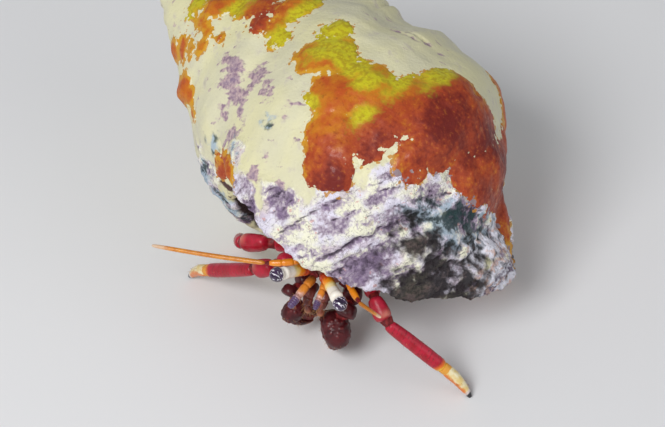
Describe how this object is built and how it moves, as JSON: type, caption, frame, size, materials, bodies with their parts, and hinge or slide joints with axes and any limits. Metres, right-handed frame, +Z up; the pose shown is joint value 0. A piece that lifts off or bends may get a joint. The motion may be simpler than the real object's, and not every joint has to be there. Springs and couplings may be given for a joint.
{
  "type": "hermit crab",
  "caption": "Life-size still model of a red hermit crab peering out from under its large, encrusted snail shell, standing on its leg tips.",
  "frame": {"origin": "on the floor, under the middle of the box round the whole model", "axes": "+Z up, the shortest way through; +X to the crab's left, the longest way, along the shell; -Y is the way the crab faces"},
  "size_m": [0.039, 0.0318, 0.0239],
  "materials": {
    "shell": "worn, encrusted snail shell: chalky white and lavender with glossy orange and yellow crust",
    "shield": "smooth dark red-brown crust of a crab, slightly glossy",
    "soft_body": "soft pinkish-brown skin",
    "eyestalk": "smooth white, orange towards the base",
    "eye": "glossy purple-black cornea",
    "feeler": "translucent orange, finely ringed",
    "mouthpart": "dark red-brown, hairy along the edges",
    "claw": "dark maroon, finely bumped, with pale finger tips",
    "leg": "deep red, finely pitted, slightly glossy",
    "leg_tip": "yellow and white with an orange band and a black claw",
    "small_leg": "red-brown, hairy at the tip"
  },
  "bodies": {
    "root": {"shell": "shell", "shield": "shield", "thorax": "soft_body", "abdomen": "soft_body", "eyestalk_left": "eyestalk", "eye_left": "eye", "eyestalk_right": "eyestalk", "eye_right": "eye", "antenna_base_left": "feeler", "antenna_base_right": "feeler", "antennule_left": "feeler", "antennule_right": "feeler", "antenna_left": "feeler", "antenna_right": "feeler", "maxilliped_left": "mouthpart", "maxilliped_right": "mouthpart", "leg2_left_merus": "leg", "leg2_left_carpus": "leg", "leg2_left_propodus": "leg", "leg2_left_dactyl": "leg_tip", "leg2_right_merus": "leg", "leg2_right_carpus": "leg", "leg2_right_propodus": "leg", "leg2_right_dactyl": "leg_tip", "leg3_left_merus": "leg", "leg3_left_carpus": "leg", "leg3_left_propodus": "leg", "leg3_left_dactyl": "leg_tip", "leg3_right_merus": "leg", "leg3_right_carpus": "leg", "leg3_right_propodus": "leg", "leg3_right_dactyl": "leg_tip", "claw_left_merus": "claw", "claw_left_carpus": "claw", "claw_left_hand": "claw", "claw_left_finger": "claw", "claw_right_merus": "claw", "claw_right_carpus": "claw", "claw_right_hand": "claw", "claw_right_finger": "claw", "leg4_left": "small_leg", "leg4_right": "small_leg", "leg5_left": "small_leg", "leg5_right": "small_leg"}
  },
  "joints": []
}
